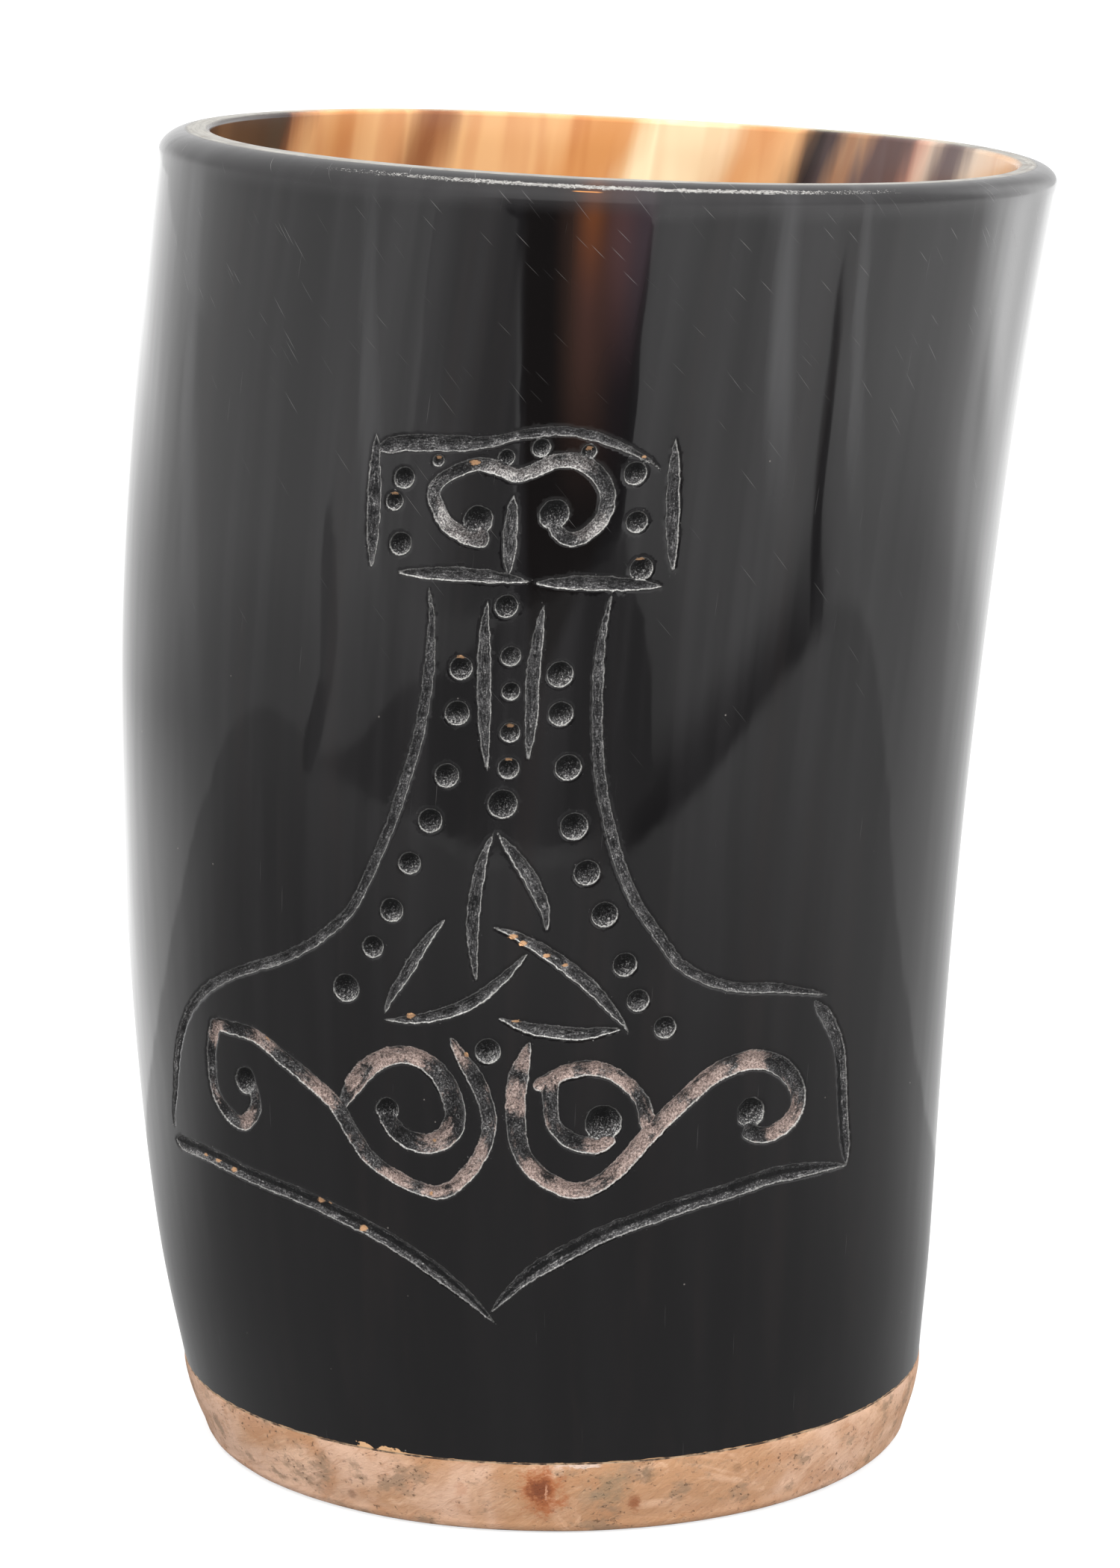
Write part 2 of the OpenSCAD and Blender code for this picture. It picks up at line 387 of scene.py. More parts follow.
def half_width(kind, width, s, length):
    """Half a stroke's width at a length along it."""
    x = np.clip(s / length, 0, 1)
    if kind == "cut":
        inner, outer = CUT_SWELL
        return width / 2 * np.maximum(1 - np.abs(2 * x - 1) ** inner, 0) ** outer
    if kind in RUN_OUTS:
        start, end = RUN_OUTS[kind]
        width = width * np.clip(s / start, 0, 1) ** RUN_OUT_POWER
        if end:
            width = width * np.clip((length - s) / end, 0, 1) ** RUN_OUT_POWER
    if kind == "arc":
        width = width * np.interp(x, *ARC_THINS)
    if kind in ("scroll", "tail"):
        width = width * (1 - SCROLL_VARIES + SCROLL_VARIES * np.cos(SCROLL_TURNS * x))
    return width / 2


def ripple(u, z, size, seed):
    """Smooth noise from -1 to 1 on the flattened front, with lumps of a size."""
    x = u / size + 31.7 * seed
    y = z / size - 17.3 * seed
    i = np.floor(x)
    j = np.floor(y)
    fx = x - i
    fy = y - j
    fx = fx * fx * (3 - 2 * fx)
    fy = fy * fy * (3 - 2 * fy)

    def corner(p, q):
        v = np.sin(p * 127.1 + q * 311.7 + seed * 74.7) * 43758.5453
        return 2 * (v - np.floor(v)) - 1

    low = corner(i, j) * (1 - fx) + corner(i + 1, j) * fx
    high = corner(i, j + 1) * (1 - fx) + corner(i + 1, j + 1) * fx
    return low * (1 - fy) + high * fy


def layered(u, z, layers):
    """Layers of smooth noise, each with a height, the size of its lumps and a seed."""
    return sum(height * ripple(u, z, size, seed) for height, size, seed in layers)


class Carving:
    """Every stroke and pit on the flattened front, and what they do to a point there."""

    def __init__(self):
        self.paths = []
        for kind, width, *pixels in STROKES:
            path = smooth_path([on_horn(x, y) for x, y in zip(pixels[::2], pixels[1::2])])
            self.paths.append((kind, width / PX_PER_MM, path))
        for kind, rounds in (("pit", PITS), ("bulb", BULBS)):
            for x, y, r in rounds:
                self.paths.append((kind, 2 * r / PX_PER_MM, np.array([on_horn(x, y)])))
        self.patches = [(on_horn(x, y), r / PX_PER_MM) for x, y, r in DUST]

    def dusted(self, uz):
        """How much dust lies at each point of a scroll: 1 in a patch, less between them."""
        thick = np.zeros(len(uz))
        for middle, r in self.patches:
            away = np.linalg.norm(uz - middle, axis=1) / r
            thick = np.maximum(thick, np.clip(DUST_REACH - away, 0, 1))
        return DUST_LEAST + (1 - DUST_LEAST) * thick

    def reach(self, uz, path, half):
        """The points near a path: their numbers, offsets from it, sides and lengths along it."""
        room = half + REACH[0] + 1
        near = np.all((uz > path.min(0) - room) & (uz < path.max(0) + room), axis=1)
        found = np.flatnonzero(near)
        q = uz[found]
        if len(path) == 1:
            return found, q - path[0], np.zeros(len(q)), np.zeros(len(q)), 1.0
        a = path[:-1]
        step = path[1:] - a
        size = np.linalg.norm(step, axis=1)
        start = np.concatenate([[0], np.cumsum(size)[:-1]])
        best = np.full(len(q), np.inf)
        offset = np.zeros((len(q), 2))
        side = np.zeros(len(q))
        along = np.zeros(len(q))
        for k in range(len(a)):
            t = np.clip((q - a[k]) @ step[k] / size[k] ** 2, 0, 1)
            off = q - a[k] - t[:, None] * step[k]
            d = np.linalg.norm(off, axis=1)
            closer = d < best
            best[closer] = d[closer]
            offset[closer] = off[closer]
            side[closer] = (step[k][0] * off[closer, 1] - step[k][1] * off[closer, 0]) / size[k]
            along[closer] = start[k] + t[closer] * size[k]
        return found, offset, side, along, size.sum()

    def cut(self, uz):
        """What the carving does at each point, from mm outside its nearest edge to how far it lies
        towards the lit side, which the material turns into painted light and shade.
        """
        n = len(uz)
        edge = np.full(n, FAR)
        depth, along, across, dust, stipple, lit_side = np.zeros((6, n))
        fray = layered(*uz.T, FRAYED_EDGE)
        for number, (kind, width, path) in enumerate(self.paths):
            found, offset, side, s, length = self.reach(uz, path, width / 2)
            if not len(found):
                continue
            d = np.linalg.norm(offset, axis=1)
            if kind in ("pit", "bulb"):
                half = np.full(len(d), width / 2)
                share = PIT_DEPTH_SHARE
            else:
                half = half_width(kind, width, s, length)
                share = CUT_DEPTH_SHARE
            half = np.maximum(half + fray[found] * (PIT_FRAY if kind == "pit" else 1), LEAST_HALF)
            deep = share * half * np.maximum(1 - (d / half) ** 2, 0)
            if kind in ("line", "bar", "side"):
                track = TRACK_DEPTH * np.exp(-(d / half / TRACK_HALF) ** 2)
                deep *= 1 - track * (uz[found, 1] < TRACK_Z)
            out = d - half
            first = out < edge[found]
            sure = found[first]
            edge[sure] = out[first]
            along[sure] = s[first] + STROKE_SHIFT * number
            across[sure] = np.clip(side[first] / half[first], -2, 2)
            lit_side[sure] = np.clip(offset[first] @ SHADED_SIDE / half[first], -2, 2)
            dust[sure] = self.dusted(uz[sure]) if kind in ("scroll", "tail") else 0
            stipple[sure] = STIPPLE.get(kind, 0)
            depth[found] = np.maximum(depth[found], deep)
        return edge, depth, along, across, dust, stipple, lit_side


def chipped(uz):
    """How far each point is into a chip: 1 in its middle, 0 or less outside."""
    into = np.full(len(uz), -FAR)
    for x, y, half_w, half_h in CHIPS:
        off = (uz - on_horn(x, y)) * PX_PER_MM / np.array([half_w, half_h])
        into = np.maximum(into, 1 - np.linalg.norm(off, axis=1))
    return into


# The horn's mesh

def wall_point(i, j):
    """Direction and height of a place in the finest grid of the outer wall."""
    a = 2 * np.pi * i / (AROUND * FINE)
    z = FOOT_Z + (rim_at(a) - LIP_DROP - FOOT_Z) * j / (UP * FINE)
    return a, z


def halved_cells(carving):
    """For each size of cell, which are halved near the carving: neighbours differ by one size."""
    halved = []
    for level in range(HALVINGS):
        h = 2 ** (HALVINGS - level)
        i, j = np.indices((AROUND * 2 ** level, UP * 2 ** level))
        a, z = wall_point((i.ravel() + 0.5) * h, (j.ravel() + 0.5) * h)
        edge = carving.cut(unrolled(a, z))[0]
        halved.append((edge < REACH[level]).reshape(i.shape))
    for level in range(HALVINGS - 1, 0, -1):
        wide = halved[level].copy()
        for shift in (1, -1):
            wide |= np.roll(halved[level], shift, axis=0)
        tall = wide.copy()
        tall[:, 1:] |= wide[:, :-1]
        tall[:, :-1] |= wide[:, 1:]
        halved[level - 1] |= tall.reshape(tall.shape[0] // 2, 2, -1, 2).any(axis=(1, 3))
    return halved


def wall_faces(halved):
    """The outer wall's faces, in the finest grid: cells, and fans where a neighbour is finer."""
    wide = AROUND * FINE
    faces = []
    exists = np.ones((AROUND, UP), bool)
    for level in range(HALVINGS + 1):
        last = level == HALVINGS
        split = np.zeros_like(exists) if last else halved[level] & exists
        h = FINE >> level
        left = np.roll(split, 1, axis=0)
        right = np.roll(split, -1, axis=0)
        below = np.zeros_like(split)
        below[:, 1:] = split[:, :-1]
        above = np.zeros_like(split)
        above[:, :-1] = split[:, 1:]
        for i, j in np.argwhere(exists & ~split):
            x, y = int(i) * h, int(j) * h
            m = h // 2
            sides = (((x, y), (x + m, y), below), ((x + h, y), (x + h, y + m), right),
                     ((x + h, y + h), (x + m, y + h), above), ((x, y + h), (x, y + m), left))
            ring = []
            for corner, between, finer in sides:
                ring += [corner, between] if finer[i, j] else [corner]
            ring = [(p % wide, q) for p, q in ring]
            if len(ring) == 4:
                faces.append(ring)
            else:
                middle = ((x + m) % wide, y + m)
                faces += [[middle, p, q] for p, q in zip(ring, ring[1:] + ring[:1])]
        if not last:
            exists = split.repeat(2, axis=0).repeat(2, axis=1)
    return faces


def inner_rings():
    """The rings over the lip, down the inside and round the seat: points, turn and inside."""
    a = 2 * np.pi * np.arange(AROUND) / AROUND
    rim = rim_at(a)
    rings = []
    for b in np.linspace(0, math.pi / 2, LIP_ROWS + 1)[1:]:
        turn = b / (math.pi / 2)
        z = rim - LIP_DROP * (1 - math.sin(b))
        rings.append((spot(z, a, LIP_W * (1 - math.cos(b))), turn, 0))
    for b in np.linspace(0, math.pi / 2, EASE_ROWS + 1):
        z = rim - LIP_EASE * (1 - math.cos(b))
        inset = wall_at(z, a) - LIP_EASE * (1 - math.sin(b))
        rings.append((spot(z, a, inset), 1 + 0.2 * b, min(b, 1)))
    for t in (np.arange(INSIDE_ROWS) + 1) / INSIDE_ROWS:
        z = rim - LIP_EASE + (SEAT_Z - rim + LIP_EASE) * t
        rings.append((spot(z, a, wall_at(z, a)), 2, 1))
    for z in (SEAT_Z, FOOT_Z):
        circle = np.stack([SEAT_R * np.cos(a), SEAT_R * np.sin(a), np.full(AROUND, z)], -1)
        rings.append((circle, 2, 1))
    return rings


def add_object(name, data):
    piece = bpy.data.objects.new(name, data)
    bpy.context.scene.collection.objects.link(piece)
    return piece


def build_mesh(name, points, faces, attributes, sharp_rings=()):
    """A smooth-shaded mesh object from points in mm, with values on its points."""
    mesh = bpy.data.meshes.new(name)
    mesh.from_pydata((np.asarray(points) * MM).tolist(), [], faces)
    mesh.polygons.foreach_set("use_smooth", np.ones(len(mesh.polygons), bool))
    for key, values in attributes.items():
        values = np.asarray(values, np.float32)
        kind = "FLOAT_VECTOR" if values.ndim == 2 else "FLOAT"
        field = "vector" if values.ndim == 2 else "value"
        mesh.attributes.new(key, kind, "POINT").data.foreach_set(field, values.ravel())
    if len(sharp_rings):
        of_ring = np.full(len(points), -1)
        for number, ring in enumerate(sharp_rings):
            of_ring[ring] = number
        ends = np.zeros(len(mesh.edges) * 2, int)
        mesh.edges.foreach_get("vertices", ends)
        first, second = of_ring[ends].reshape(-1, 2).T
        sharp = (first >= 0) & (first == second)
        mesh.attributes.new("sharp_edge", "BOOLEAN", "EDGE").data.foreach_set("value", sharp)
    mesh.update()
    return add_object(name, mesh)


def make_horn():
    """The carved horn: the outer wall, the rounded lip, the inside and the seat."""
    carving = Carving()
    cells = wall_faces(halved_cells(carving))
    places = sorted({p for face in cells for p in face})
    index = {p: k for k, p in enumerate(places)}
    faces = [[index[p] for p in face] for face in cells]
    ij = np.array(places)
    a, z = wall_point(ij[:, 0], ij[:, 1])
    uz = unrolled(a, z)
    edge, depth, along, across, dust, stipple, lit_side = carving.cut(uz)
    depth = np.maximum(depth + layered(*uz.T, ROUGH_FLOOR) * np.clip(-edge / ROUGH_FROM, 0, 1), 0)
    points = [spot(z, a, depth)]
    wear = [np.stack([0 * a, rim_at(a) - z, 0 * a], -1)]
    previous = [index[(k * FINE, UP * FINE)] for k in range(AROUND)]
    foot = [index[(k * FINE, 0)] for k in range(AROUND)]
    count = len(places)
    around = 2 * np.pi * np.arange(AROUND) / AROUND
    sharp = [foot]
    for ring, turn, inside in inner_rings():
        now = list(range(count, count + AROUND))
        count += AROUND
        points.append(ring)
        below = rim_at(around) - ring[:, 2]
        wear.append(np.stack([np.full(AROUND, turn), below, np.full(AROUND, inside)], -1))
        faces += quads(previous, now)
        previous = now
        sharp.append(now)
    faces += quads(previous, foot)
    points = np.concatenate(points)
    straight = points.copy()
    straight[:, 0] -= middle_x(points[:, 2])

    def filled(values, rest=0):
        """Values of the outer wall, with the same one on every other point."""
        return np.concatenate([values, np.full(count - len(places), float(rest))])

    values = {
        "straight": straight,
        "cut": np.stack([filled(edge, FAR), filled(along), filled(across)], -1),
        "look": np.stack([filled(dust), filled(stipple), filled(lit_side)], -1),
        "wear": np.concatenate(wear),
        "chip": filled(chipped(uz), -FAR),
    }
    return build_mesh("horn_carved", points, faces, values, [foot] + sharp[-3:])


def quads(low, high):
    """Faces between two rings of points."""
    n = len(low)
    return [[low[k], low[(k + 1) % n], high[(k + 1) % n], high[k]] for k in range(n)]


# The wooden disc, the adhesive and the seal

def side_r(z):
    """The radius of the wooden disc's side at a height."""
    return FOOT_R - BASE_DRAW * (1 - z / BASE_H) ** DRAW_POWER


def revolve(name, profile, closed, shift=lambda p: p, sharp_at=()):
    """A piece turned from points of (radius, height), with its open ends drawn to the middle."""
    a = 2 * np.pi * np.arange(SPIN) / SPIN
    points = []
    faces = []
    rings = []
    for r, z in profile:
        start = len(points)
        points += [(r * math.cos(b), r * math.sin(b), z) for b in a]
        rings.append(list(range(start, start + SPIN)))
    for low, high in zip(rings, rings[1:]):
        faces += quads(low, high)
    if closed:
        faces += quads(rings[-1], rings[0])
    else:
        bottom = len(points)
        points += [(0, 0, profile[0][1]), (0, 0, profile[-1][1])]
        faces += [[bottom, q, p] for p, q in zip(rings[0], rings[0][1:] + rings[0][:1])]
        faces += [[bottom + 1, p, q] for p, q in zip(rings[-1], rings[-1][1:] + rings[-1][:1])]
    points = shift(np.array(points, float))
    return build_mesh(name, points, faces, {}, [rings[k] for k in sharp_at])


def make_disc():
    """The turned wooden disc: a sanded underside and edge, a worn side and the spigot."""
    under = [(r, 0) for r in np.linspace(2, side_r(BASE_EDGE) - BASE_EDGE, 14)]
    edge = []
    for b in np.linspace(0, math.pi / 2, 9)[1:]:
        inset = BASE_EDGE * (1 - math.sin(b))
        edge.append((side_r(BASE_EDGE) - inset, BASE_EDGE * (1 - math.cos(b))))
    side = [(side_r(z), z) for z in np.linspace(BASE_EDGE, BASE_H, 14)[1:]]
    top = [(r, BASE_H) for r in np.linspace(FOOT_R, SPIGOT_R, 4)[1:]]
    spigot = [(SPIGOT_R, SPIGOT_Z), (SPIGOT_R / 2, SPIGOT_Z), (2, SPIGOT_Z)]
    profile = under + edge + side + top + spigot
    corner = len(under + edge + side) - 1

    def worn(points):
        """The side leans on with the horn, and the sanding leaves it slightly uneven."""
        p = points.copy()
        turn = np.arctan2(p[:, 1], p[:, 0]) * FOOT_R
        visible = (p[:, 2] < BASE_H - 0.01) & (np.hypot(p[:, 0], p[:, 1]) > SPIGOT_R - 1)
        scale = 1 + np.where(visible, layered(turn, p[:, 2], DENTS), 0) / FOOT_R
        p[:, :2] *= scale[:, None]
        p[:, 0] += BASE_SHIFT * np.clip(1 - p[:, 2] / BASE_H, 0, 1)
        return p

    return revolve("disc_wood", profile, False, worn, [corner, corner + 3, corner + 4])


def make_glue():
    """The adhesive: a bed under the horn and a sleeve round the spigot."""
    outer = FOOT_R - GLUE_INSET
    profile = [(SPIGOT_R, BASE_H), (outer, BASE_H), (outer, FOOT_Z), (SEAT_R, FOOT_Z),
               (SEAT_R, SPIGOT_Z), (SPIGOT_R, SPIGOT_Z)]
    return revolve("glue_line", profile, True, sharp_at=range(6))


def make_seal():
    """The clear resin floor, coved up the wall."""
    cove = [(SEAT_R - SEAL_RISE * (1 - math.cos(b)), SEAT_Z - SEAL_RISE * math.sin(b))
            for b in np.linspace(0, math.pi / 2, 12)]
    floor = [(r, FLOOR_Z) for r in np.linspace(SEAT_R - SEAL_RISE, 1, 8)[1:]]
    profile = [(1, SPIGOT_Z), (SEAT_R, SPIGOT_Z)] + cove + floor
    return revolve("seal_resin", profile, False, sharp_at=[1])


# Materials

class Value:
    """A node's output. Sums and products of it make nodes."""

    def __init__(self, graph, socket):
        self.graph = graph
        self.socket = socket

    def __add__(self, other):
        return self.graph.math("ADD", self, other)

    def __sub__(self, other):
        return self.graph.math("SUBTRACT", self, other)

    def __rsub__(self, other):
        return self.graph.math("SUBTRACT", other, self)

    def __mul__(self, other):
        return self.graph.math("MULTIPLY", self, other)

    def __truediv__(self, other):
        return self.graph.math("DIVIDE", self, other)

    def __abs__(self):
        return self.graph.math("ABSOLUTE", self)


class Graph:
    """Short calls for the nodes of a material or a world."""

    def __init__(self, tree):
        self.tree = tree
        tree.nodes.clear()

    def put(self, socket, value):
        """Gives an input a Value, a tone's name or a plain value."""
        if isinstance(value, Value):
            self.tree.links.new(value.socket, socket)
        else:
            socket.default_value = srgb(*TONES[value]) if isinstance(value, str) else value

    def node(self, kind, inputs=None, **settings):
        made = self.tree.nodes.new("ShaderNode" + kind)
        for key, value in settings.items():
            setattr(made, key, value)
        for key, value in (inputs or {}).items():
            self.put(made.inputs[key], value)
        return made

    def out(self, kind, inputs=None, output=0, **settings):
        return Value(self, self.node(kind, inputs, **settings).outputs[output])

    def math(self, operation, a, b=0.0, c=0.0):
        return self.out("Math", {0: a, 1: b, 2: c}, operation=operation)

    def max(self, a, b):
        return self.math("MAXIMUM", a, b)

    def range(self, value, low, high, to_low=0.0, to_high=1.0):
        """A smooth step from one level to another as the value goes from low to high."""
        return self.out("MapRange", {0: value, 1: low, 2: high, 3: to_low, 4: to_high},
                        interpolation_type="SMOOTHSTEP")

    def within(self, *steps):
        """The product of several smooth steps."""
        product = self.range(*steps[0])
        for step in steps[1:]:
            product *= self.range(*step)
        return product

    def mix(self, factor, a, b, blend="MIX"):
        return self.out("Mix", {0: factor, 6: a, 7: b}, 2, data_type="RGBA", blend_type=blend)

    def blend(self, factor, a, b):
        return self.out("Mix", {0: factor, 2: a, 3: b}, data_type="FLOAT")

    def noise(self, vector, scale, detail=2.0, roughness=0.5, distortion=0.0):
        return self.out("TexNoise", {"Vector": vector, "Scale": scale, "Detail": detail,
                                               "Roughness": roughness, "Distortion": distortion})

    def stretched(self, vector, across, along, *detail):
        """A noise with scales across and along the cup, and its detail, roughness and so on."""
        return self.noise(self.scaled(vector, across, across, along), 1.0, *detail)

    def cells(self, vector, scale, dimensions):
        """For the nearest of scattered points: how far it is, and its three random values."""
        made = self.node("TexVoronoi", {"Vector": vector, "Scale": scale},
                         feature="F1", voronoi_dimensions=dimensions)
        return Value(self, made.outputs["Distance"]), self.split(Value(self, made.outputs["Color"]))

    def scaled(self, vector, x, y, z):
        return self.out("VectorMath", {0: vector, 1: (x, y, z)}, operation="MULTIPLY")

    def length(self, vector):
        return self.out("VectorMath", {0: vector}, "Value", operation="LENGTH")

    def split(self, vector):
        return [Value(self, part) for part in self.node("SeparateXYZ", {0: vector}).outputs]

    def join(self, x, y, z):
        return self.out("CombineXYZ", {0: x, 1: y, 2: z})

    def coordinates(self, kind):
        return self.out("TexCoord", output=kind)

    def millimetres(self):
        return self.scaled(self.coordinates("Object"), 1 / MM, 1 / MM, 1 / MM)

    def attribute(self, name, output="Vector"):
        return self.out("Attribute", output=output, attribute_name=name)

    def ray(self, kind):
        return self.out("LightPath", output=kind)

    def seen(self):
        """1 where the camera looks straight or through glass."""
        return self.out("Math", {0: self.ray("Is Camera Ray"), 1: self.ray("Is Transmission Ray")},
                        operation="ADD", use_clamp=True)

    def bump(self, height, distance):
        return self.out("Bump", {"Height": height, "Distance": distance, "Strength": 1.0})

    def colours(self, factor, ramp):
        """The factor's colour on a ramp of places, each with a tone's name or its sRGB levels."""
        made = self.node("ValToRGB", {0: factor})
        elements = made.color_ramp.elements
        while len(elements) > 1:
            elements.remove(elements[-1])
        for number, (place, levels) in enumerate(ramp):
            element = elements.new(place) if number else elements[0]
            element.position = place
            element.color = srgb(*(TONES[levels] if isinstance(levels, str) else levels))
        return Value(self, made.outputs[0])

    def diffuse(self, level):
        return self.out("BsdfDiffuse", {"Color": (level, level, level, 1)})

    def emission(self, strength):
        return self.out("Emission", {"Color": WHITE, "Strength": strength})

    def mix_shaders(self, factor, a, b):
        return self.out("MixShader", {0: factor, 1: a, 2: b})

    def output(self, shader, kind="Material"):
        self.node("Output" + kind, {"Surface": shader})

    def surface(self, **inputs):
        self.output(self.out("BsdfPrincipled", {k.replace("_", " "): v for k, v in inputs.items()}))


def new_material(name):
    material = bpy.data.materials.new(name)
    material.use_nodes = True
    return material, Graph(material.node_tree)


def scratches(g, around, height, lean, across, along, rare):
    """1 on short hairline scratches that lean. Across and along are how many lie in a mm."""
    p = around * (math.cos(lean) * across) + height * (math.sin(lean) * across)
    q = height * (math.cos(lean) * along) - around * (math.sin(lean) * along)
    distance, randoms = g.cells(g.join(p, q, 0.0), 1.0, "2D")
    kept = g.range(randoms[0], rare, rare + 0.3)
    return g.range(distance, 0.055, 0.02) * kept


# How far the fibres twist round the horn, in degrees for a mm down: everywhere, and near the rim
TWIST = 0.12
RIM_TWIST = 0.35
RIM_TWIST_DEEP = 15.0
RIM_TURN = -1.6
STREAK_SOFTNESS = 1.5
# The clear dark band in front, in degrees at the rim and for a mm down: its edges and brown heart
CLEAR_LEFT = -101.2
CLEAR_RIGHT = -84.6
CLEAR_SLANT = 0.18
TAPER_FROM = 28.0
TAPER_SLANT = 0.42
HEART_AT = -92.4
HEART_SLANT = 0.13
# In degrees: the middle of the lip's frayed line, of its tan glint, and of the foot's torn fibres
FRAYED_AT = -90.0
GLINT_AT = -93.2
TORN_AT = -116.6
# Pale fibres in the dark skin: direction and half-width in degrees, how far down, strength
PALE_FIBRES = (
    (-69.5, 2.6, 32.0, 0.55), (-58.5, 1.6, 40.0, 0.35), (-120.5, 1.8, 45.0, 0.3),
    (-36.0, 3.0, 70.0, 0.4), (-152.0, 3.0, 60.0, 0.4),
)


def streak_tones(g, place, degrees, below):
    """The horn's colour: amber and cream streaks along its fibres, darker towards the foot, the
    pale ones partly painted light shining through the thin wall.
    """
    ramp = [((at + 180) / 360, name) for at, name in STREAKS]
    one_side, middle, other_side = (
        g.colours((degrees + shift) * (1 / 360) + 0.5, ramp)
        for shift in (-STREAK_SOFTNESS, 0.0, STREAK_SOFTNESS))
    tones = g.mix(0.4, g.mix(0.5, one_side, other_side), middle)
    shade = g.stretched(place, 0.25, 0.02, 2.0, 0.5, 0.4)
    tones = g.mix(g.range(shade, 0.44, 0.68, 0.0, 0.4), tones, "shade", "MULTIPLY")
    return g.mix(g.range(below, 25.0, 100.0, 0.0, 0.8), tones, "dark")


def dark_skin(g, place, direction, below, fibre, streaky):
    """The dark polished skin, with pale fibres in it, and pale bands and streaks that are partly
    painted sheen.
    """
    bands = g.stretched(place, 0.16, 0.004, 4.0, 0.6)
    # Pale bands, strongest near the rim, and streaks: partly the horn's grain, partly painted sheen
    # of its soft reflections
    pale = g.within((bands, 0.42, 0.66), (below, 105.0, 20.0, 0.15, 1.0))
    skin = g.mix(pale, "skin", "skin_pale_sheen")
    skin = g.mix(g.range(streaky, 0.5, 0.75, 0.0, 0.5), skin, "skin_streak_sheen")
    for at, width, down, strength in PALE_FIBRES:
        off = direction - (below * 0.2 + at)
        off += (fibre - 0.5) * 3.0
        shown = g.within((abs(off), width, 0.2 * width), (below, down, 0.4 * down),
                         (fibre, 0.3, 0.6, 0.4, 1.0))
        skin = g.mix(shown * strength, skin, "fibre")
    return skin


def clear_band(g, skin, direction, below, streaky):
    """A clear band with a brown heart runs down from the rim in front and tapers off leftwards."""
    ragged = (streaky - 0.5) * 2.0
    from_left = direction - (below * CLEAR_SLANT + CLEAR_LEFT)
    taper = g.max(below - TAPER_FROM, 0.0) * TAPER_SLANT
    from_right = CLEAR_RIGHT - taper - (direction + ragged)
    skin = g.mix(g.within((from_left, 0.0, 1.2), (from_right, -0.6, 1.4)), skin, "band")
    heart = direction - (below * HEART_SLANT + HEART_AT)
    heart += ragged * 0.7
    mauve = g.mix(g.range(heart, 1.5, 6.0), "mauve", "mauve_right")
    mauve = g.mix(g.range(below, 4.0, 19.0), mauve, "mauve_low")
    halo = g.within((from_left, 3.6, 7.0), (from_right, -0.6, 1.4), (below, 30.0, 14.0))
    skin = g.mix(halo, skin, g.mix(g.range(heart, 0.0, 4.0), "band_left", mauve))
    core = g.within((abs(heart), 2.8, 0.0), (below, 24.0, 1.0))
    return g.mix(core, skin, g.mix(g.range(below, 2.0, 12.0), "heart", "heart_low"))


def lip_tones(g, radius, degrees, turn, fibre, back, tones):
    """The lip's top: scraped grey, partly a painted highlight, with a pale inner edge that is a
    painted highlight.
    """
    layers = g.noise(g.join(radius * 3.4, degrees * 0.09, 0.0), 1.0, 4.0, 0.65)
    lip = g.mix(g.range(layers, 0.36, 0.62), "lip_dark", "lip_light")
    lip = g.mix(g.range(fibre, 0.54, 0.70, 0.0, 0.45), lip, "lip_brown")
    lip = g.mix(back, lip, g.mix(g.range(layers, 0.36, 0.62, 0.55, 0.75), tones, "lip_back"))
    # The pale inner edge is a painted highlight
    return g.mix(g.range(turn, 1.02, 1.25, 0.0, 0.75), lip, "lip_edge_highlight")


def frayed_line(g, direction, degrees, turn):
    """A frayed pale line along the lip's front: where it is, and its colour."""
    shred = g.noise(g.join(degrees, turn * 2.5, 0.0), 2.6, 4.0, 0.75)
    ragged_line = (shred - 0.5) * 0.22 + 0.5
    frayed = g.range(abs(turn - ragged_line), 0.075, 0.035)
    middle = g.range(abs(direction - FRAYED_AT), 44.0, 6.0)
    broken = g.noise(g.join(degrees, turn * 9.0, 1.0), 3.4, 4.0, 0.8)
    frayed *= g.range(broken + middle * 0.24, 0.6, 0.7)
    frayed *= g.range(middle, 0.0, 0.2)
    return frayed, g.mix(g.range(broken, 0.4, 0.6), "frayed_dark", "frayed_light")


def polish_marks(g, place, z, direction, below):
    """Hairlines and specks on the polish, thickest near the lip."""
    around = direction * (RIM_R * math.pi / 180)
    high = g.range(below, 22.0, 6.0)
    patches = g.range(g.stretched(place, 0.11, 0.09, 1.0), 0.46, 0.56)
    near = patches * g.range(below, 60.0, 15.0)
    hair = scratches(g, around, z, 0.85, 3.0, 0.05, 0.62) * (high * 0.5)
    hair = g.max(hair, scratches(g, around, z, 0.75, 3.0, 0.035, 0.6) * (near * 0.4))
    hair = g.max(hair, scratches(g, around, z, -0.03, 2.2, 0.035, 0.8) * (patches * 0.22))
    distance, randoms = g.cells(place, 0.45, "3D")
    return hair, g.within((distance, 0.05, 0.02), (randoms[1], 0.86, 0.92))


def torn_fibres(g, place, z, direction):
    """The wood's torn fibres at the joint, longest left of the front: where, and their colour."""
    crumbs = g.noise(g.scaled(place, 0.55, 0.55, 0.9), 1.3, 3.0, 0.6)
    longest = g.range(abs(direction - TORN_AT), 5.5, 3.0, 0.12, 1.0)
    torn = g.range(crumbs, 0.42, 0.62) * (longest * 0.5)
    return g.range(z - FOOT_Z - torn, 0.03, -0.03), g.mix(crumbs, "torn_dark", "torn_light")


